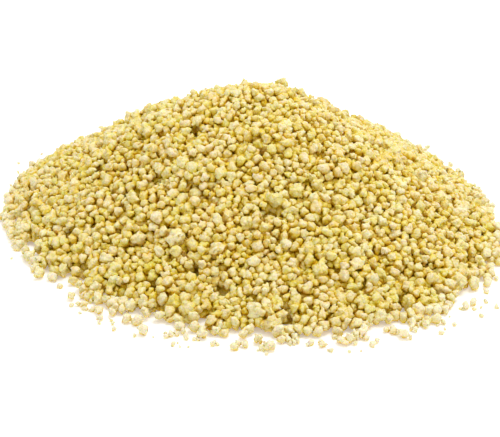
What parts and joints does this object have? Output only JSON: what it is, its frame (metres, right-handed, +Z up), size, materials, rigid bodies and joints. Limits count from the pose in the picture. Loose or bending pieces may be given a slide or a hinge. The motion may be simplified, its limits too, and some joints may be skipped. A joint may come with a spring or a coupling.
{
  "type": "heap of couscous",
  "caption": "Low round heap of dry couscous grains with a rounded crown, gently sloping sides and an uneven rim.",
  "frame": {"origin": "on the table under the middle of the heap", "axes": "+Z up, -Y towards the front of the heap, +X to its right"},
  "size_m": [0.1, 0.0962, 0.0259],
  "materials": {
    "couscous": "dry pale yellow semolina grains, matt, with ochre gaps between them"
  },
  "bodies": {
    "root": {"couscous_heap": "couscous"}
  },
  "joints": []
}
